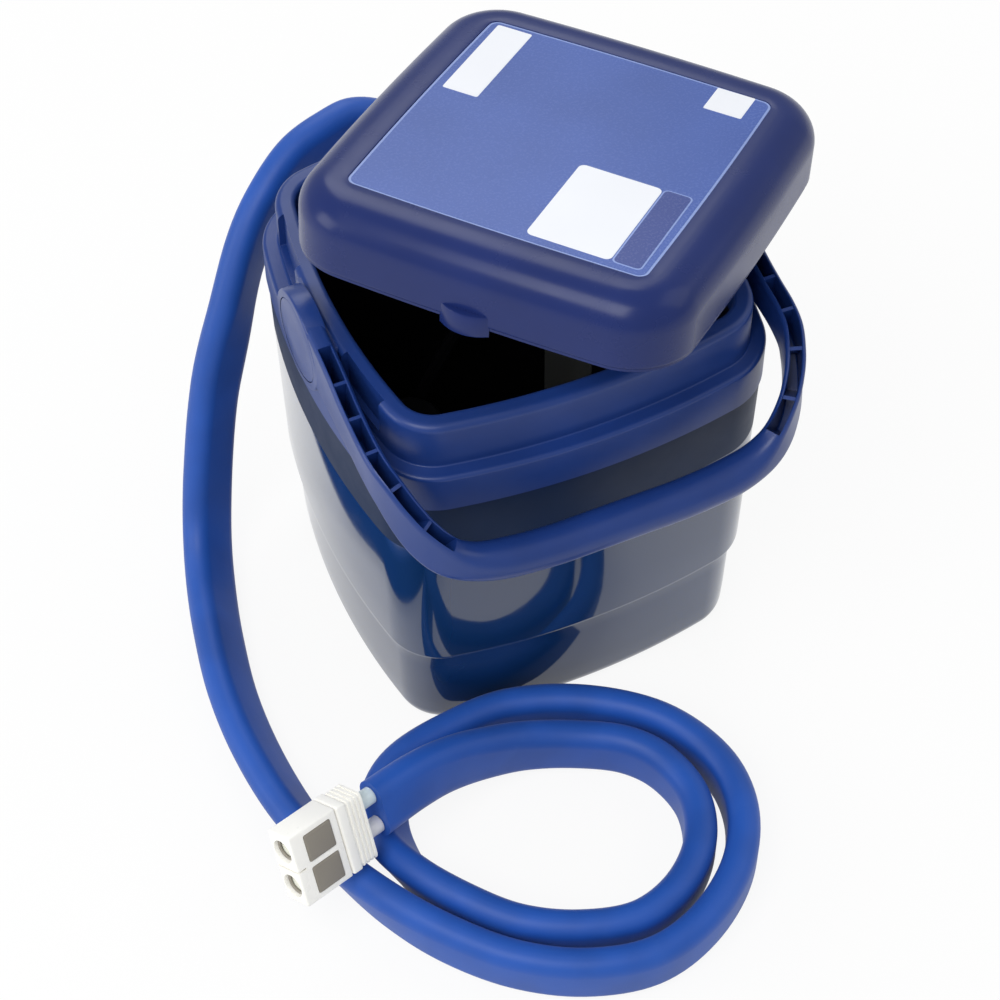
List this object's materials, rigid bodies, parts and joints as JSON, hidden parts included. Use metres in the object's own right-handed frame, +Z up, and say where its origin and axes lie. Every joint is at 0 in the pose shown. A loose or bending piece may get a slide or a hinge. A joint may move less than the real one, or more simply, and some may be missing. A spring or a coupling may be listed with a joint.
{
  "type": "hot cold therapy machine",
  "caption": "Insulated water bucket with a lift-off lid, folding bail handle, tank pump and a foam-sleeved twin-tube hose ending in a quick connector with release buttons.",
  "frame": {"origin": "middle of the bucket's flat bottom face, on the floor", "axes": "+X to the bucket's right seen from the front, +Y to the rear, +Z up; the handle is folded down over the front, -Y"},
  "size_m": [0.3961, 0.4972, 0.3699],
  "materials": {
    "shell_plastic": "glossy dark navy blow-moulded shell",
    "collar_plastic": "satin blue moulded polypropylene",
    "lid_plastic": "satin navy moulded polypropylene",
    "tank_plastic": "dark tank liner",
    "pale_plastic": "off-white moulded plastic",
    "pale_rubber": "pale grey seal",
    "foam": "closed-cell insulating foam",
    "seal_rubber": "black rubber",
    "steel": "stainless steel",
    "pump_plastic": "dark grey moulded plastic",
    "motor_metal": "grey motor case",
    "tube_rubber": "pale flexible tubing",
    "blue_tube": "light blue flexible tubing",
    "hose_foam": "smooth bright blue closed-cell foam sleeve",
    "connector_plastic": "ivory moulded acetal",
    "button_plastic": "warm grey moulded plastic",
    "valve_plastic": "beige moulded plastic"
  },
  "bodies": {
    "bucket": {"outer_shell": "shell_plastic", "foam_insulation": "foam", "tank_liner": "tank_plastic", "collar": "collar_plastic", "collar_gasket": "seal_rubber", "foot_pads": "seal_rubber", "pivot_pins": "steel", "pump_base": "pump_plastic", "filter_screen": "steel", "pump_casing": "pump_plastic", "pump_cover": "pump_plastic", "pump_motor": "motor_metal", "motor_can": "pump_plastic", "pump_screws": "steel", "feed_tube": "tube_rubber", "return_tube": "tube_rubber", "hose_gland": "shell_plastic", "gland_gasket": "seal_rubber", "gland_nut": "shell_plastic", "gland_tubes": "blue_tube", "power_inlet": "seal_rubber", "inlet_nut": "steel", "hose_free_run": "hose_foam", "hose_loops": "hose_foam", "hose_end_run": "hose_foam", "tube_ends": "blue_tube", "connector_body": "connector_plastic", "connector_tail": "connector_plastic", "connector_seals": "seal_rubber"},
    "bail": {"handle": "collar_plastic", "pivot_caps": "collar_plastic"},
    "lid": {"lid_shell": "lid_plastic", "lid_foam": "foam", "lid_base": "pale_plastic", "lid_plug": "pale_plastic", "lid_gasket": "pale_rubber"},
    "rotor": {"impeller": "pale_plastic", "impeller_shaft": "steel"},
    "button_upper": {"release_button_upper": "button_plastic"},
    "button_lower": {"release_button_lower": "button_plastic"},
    "poppet_upper": {"valve_poppet_upper": "valve_plastic"},
    "poppet_lower": {"valve_poppet_lower": "valve_plastic"}
  },
  "joints": [
    {"name": "handle_swing", "type": "hinge", "parent": "bucket", "child": "bail", "pos_m": [0, -0.001, 0.2625], "axis": [-1, 0, 0], "range_deg": [0, 12]},
    {"name": "lid_lift", "type": "slide", "parent": "bucket", "child": "lid", "axis": [0, 0, 1], "range_m": [0, 0.12]},
    {"name": "pump_spin", "type": "hinge", "parent": "bucket", "child": "rotor", "pos_m": [-0.045, 0.05, 0.05], "axis": [0, 0, 1], "continuous": true},
    {"name": "button_upper_press", "type": "slide", "parent": "bucket", "child": "button_upper", "axis": [-0.3738, 0.812, -0.4482], "range_m": [0, 0.002], "stiffness_N_per_m": 400},
    {"name": "button_lower_press", "type": "slide", "parent": "bucket", "child": "button_lower", "axis": [-0.3738, 0.812, -0.4482], "range_m": [0, 0.002], "stiffness_N_per_m": 400},
    {"name": "poppet_upper_push", "type": "slide", "parent": "bucket", "child": "poppet_upper", "axis": [0.9272, 0.3391, -0.159], "range_m": [0, 0.003], "stiffness_N_per_m": 300},
    {"name": "poppet_lower_push", "type": "slide", "parent": "bucket", "child": "poppet_lower", "axis": [0.9272, 0.3391, -0.159], "range_m": [0, 0.003], "stiffness_N_per_m": 300}
  ]
}
